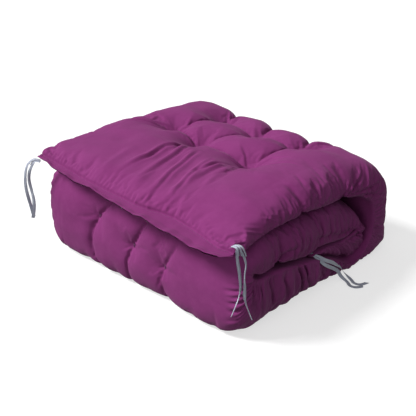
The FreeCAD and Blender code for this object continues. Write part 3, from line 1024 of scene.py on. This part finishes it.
tie_tail("far_tie_outer",
         [(-313, 357, 265), (-321, 366, 259), (-326, 372, 243), (-329, 377, 218), (-330, 379, 186),
          (-327, 376, 152), (-322, 372, 118), (-318, 371, 90)],
         [(0, (-0.6, 0.5, 0.6)), (0.2, (-0.8, 0.0, 0.3)), (0.5, (-0.75, -0.5, 0.0)),
          (0.75, (-0.2, -0.9, 0)), (1, (-0.75, -0.6, 0))],
         (0.0012, 0.0003), "top_section")
tie_tail("far_tie_inner",
         [(-314, 352, 260.6), (-319, 357, 249), (-325, 362, 232), (-327, 365, 208), (-324, 362, 179),
          (-321, 358, 146), (-323, 361, 112), (-326, 365, 92)],
         [(0, (-0.7, 0.3, 0.6)), (0.3, (-0.3, -0.9, 0.1)), (0.55, (-0.9, -0.3, 0.0)),
          (0.8, (-0.7, -0.7, 0)), (1, (-0.7, -0.7, 0))],
         (0.0012, 0.0003), "top_section", slant=0.1)
tie_tail("near_tie_left",
         [(-314, -359, 261), (-312, -358, 238), (-308, -361, 210), (-306, -364, 180), (-306, -366, 152),
          (-311, -360, 124), (-319, -352, 90)],
         [(0, (-0.5, -0.9, 0.5)), (0.3, (-0.45, -0.9, 0)), (0.55, (-0.1, -1, 0)), (0.75, (0.6, -0.8, 0)),
          (1, (0.4, -0.9, 0))],
         (0.0014, 0.0007), "top_section", slant=0.5)
tie_tail("near_tie_right",
         [(-304, -360, 261), (-299, -367, 244), (-297, -374, 223), (-300, -371, 198), (-300, -373, 171),
          (-301, -372, 143), (-296, -377, 112), (-287, -386, 78)],
         [(0, (-0.2, -0.9, 0.5)), (0.2, (0.3, -0.95, 0)), (0.4, (0.5, -0.8, 0)), (0.6, (-0.5, -0.9, 0)),
          (0.8, (0.7, -0.7, 0)), (1, (0.75, -0.6, 0))],
         (0.0014, 0.0006), "top_section", slant=-0.4)
tie_tail("inner_tie_front",
         [(15, -347, 102), (19, -358, 99), (29, -367, 90), (56, -370, 74), (81, -368, 55),
          (105, -368, 37), (115, -370, 18), (122, -380, 6), (118, -395, 2.6), (108, -409, 2.2),
          (114, -428, 2.2), (134, -432, 2.2)],
         [(0, (0, -0.9, 0.4)), (0.25, (0, -1, 0.1)), (0.4, (0.5, -0.9, 0.3)), (0.6, (0.6, -0.5, 0.6)),
          (0.72, (0, -0.2, 1)), (1, (0, 0, 1))],
         (0.0004, 0.0), "base", slant=0.8)
tie_tail("inner_tie_back",
         [(11, -347, 101), (12, -359, 96), (22, -368, 82), (45, -371, 65), (72, -369, 47),
          (92, -368, 31), (101, -371, 13), (105, -381, 4.5), (102, -394, 2.4), (90, -408, 2.2),
          (95, -427, 2.2), (113, -434, 2.2)],
         [(0, (0, -0.9, 0.4)), (0.3, (0, -1, 0.0)), (0.45, (-0.4, -0.9, 0.3)), (0.6, (-0.6, -0.5, 0.6)),
          (0.72, (0, -0.2, 1)), (1, (0, 0, 1))],
         (0.0004, 0.0), "base", slant=-0.5)


def tie_root(name, node_name, strips, body):
    """The sewn end of a pair of ties: short doubled tapes coming out of the seam and bending over."""
    for k, (route, look) in enumerate(strips):
        line, at = spline_points(in_metres(route), 0.0015)
        tape = ribbon_strip(name if k == 0 else name + "_fold_%d" % k, line, at,
                            [(0, look[0]), (1, look[1])], (0.0008, 0.0008), body, width=ROOT_W, slant=0.0)
        if k == 0:
            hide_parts(node_name)


tie_root("far_tie_root", "far_tie_tab", [
    ([(-300, 341, 264), (-306, 349, 267), (-312, 357, 267), (-318, 363, 261),
     (-321, 366, 254)], ((-0.2, 0.2, 1), (-0.8, 0.3, 0.4))),
    ([(-303, 338, 262), (-309, 347, 264), (-314, 352, 262), (-318, 356, 256),
     (-320, 358, 250)], ((-0.3, 0.0, 1), (-0.8, -0.2, 0.4))),
], "top_section")
tie_root("near_tie_root", "near_tie_knot", [
    ([(-312, -340, 263), (-313, -350, 268), (-313, -358, 267), (-313, -361, 258),
     (-312, -361, 246)], ((0, -0.2, 1), (-0.3, -1, 0))),
    ([(-306, -340, 263), (-307, -350, 269), (-306, -360, 268), (-305, -364, 258),
     (-304, -365, 246)], ((0, -0.2, 1), (0.1, -1, 0))),
    ([(-300, -340, 262), (-300, -350, 267), (-299, -361, 266), (-297, -367, 256),
     (-296, -371, 244)], ((0, -0.2, 1), (0.5, -0.9, 0))),
], "top_section")
tie_root("inner_tie_root", "inner_tie_tab", [
    ([(5, -328, 110), (8, -338, 109), (13, -347, 105), (18, -357, 101), (26, -364, 93)],
     ((0, -0.2, 1), (0, -1, 0.2))),
    ([(1, -328, 109), (4, -338, 108), (8, -347, 103), (12, -357, 98), (19, -364, 88)],
     ((0, -0.2, 1), (0, -1, 0.1))),
], "base")

# ---- floor and light ----


def stage_object(name, verts, faces, material):
    me = bpy.data.meshes.new(name)
    me.from_pydata(verts, [], faces)
    me.materials.append(material)
    obj = bpy.data.objects.new(name, me)
    link(obj)
    return obj


def glowing_material(name, grey, strength):
    m, t, bsdf = new_material(name)
    put(t, bsdf, {"Base Color": (grey, grey, grey, 1), "Emission Color": (1, 1, 1, 1),
                  "Emission Strength": strength})
    return m, bsdf


def make_floor():
    m, bsdf = glowing_material("pale_floor", 0.45, 0.62)
    bsdf.inputs["Roughness"].default_value = 0.9
    r = 12.0
    floor = stage_object("floor", [(-r, -r, 0), (r, -r, 0), (r, r, 0), (-r, r, 0)], [(0, 1, 2, 3)], m)
    floor.visible_diffuse = False


def make_world():
    """Even light from above that falls off below the horizon."""
    world = bpy.data.worlds.new("world")
    world.use_nodes = True
    t = world.node_tree
    sky = t.nodes["Background"]
    where = t.nodes.new("ShaderNodeTexCoord")
    split = node(t, "ShaderNodeSeparateXYZ", {"Vector": where.outputs["Generated"]})
    level = node(t, "ShaderNodeMapRange", {"Value": split.outputs["Z"], "From Min": -0.05, "From Max": 0.04,
                                           "To Min": 0.10, "To Max": 1.0})
    t.links.new(level.outputs["Result"], sky.inputs[0])
    sky.inputs[1].default_value = 0.34
    bpy.context.scene.world = world


def make_backdrop():
    """A white wall all round, seen only where the camera looks level; it takes no part in the lighting."""
    m, bsdf = glowing_material("pale_backdrop", 0, 1.0)
    bsdf.inputs["Specular IOR Level"].default_value = 0.0
    sides, r = 48, 11.5
    turn = 2 * math.pi / sides
    ring = [(r * math.cos(k * turn), r * math.sin(k * turn)) for k in range(sides)]
    faces = [(k, (k + 1) % sides, sides + (k + 1) % sides, sides + k) for k in range(sides)]
    wall = stage_object("backdrop", [(x, y, z) for z in (-0.2, 9.0) for x, y in ring], faces, m)
    wall.visible_diffuse = wall.visible_glossy = wall.visible_shadow = wall.visible_transmission = False


def make_light(name, kind, energy, place, aim):
    light = bpy.data.lights.new(name, kind)
    light.energy = energy
    obj = bpy.data.objects.new(name, light)
    obj.location = place
    obj.rotation_euler = (Vector(aim) - Vector(place)).to_track_quat("-Z", "Y").to_euler()
    link(obj)
    return light


bpy.context.scene.view_settings.view_transform = "Standard"
make_floor()
make_world()
make_backdrop()
make_light("key", "SUN", 3.75, (-1.5, 1.5, 2.15), (0, 0, 0)).angle = 0.30
make_light("fill", "AREA", 15.0, (-2.6, -0.9, 1.0), (0, 0, 0.15)).size = 1.2
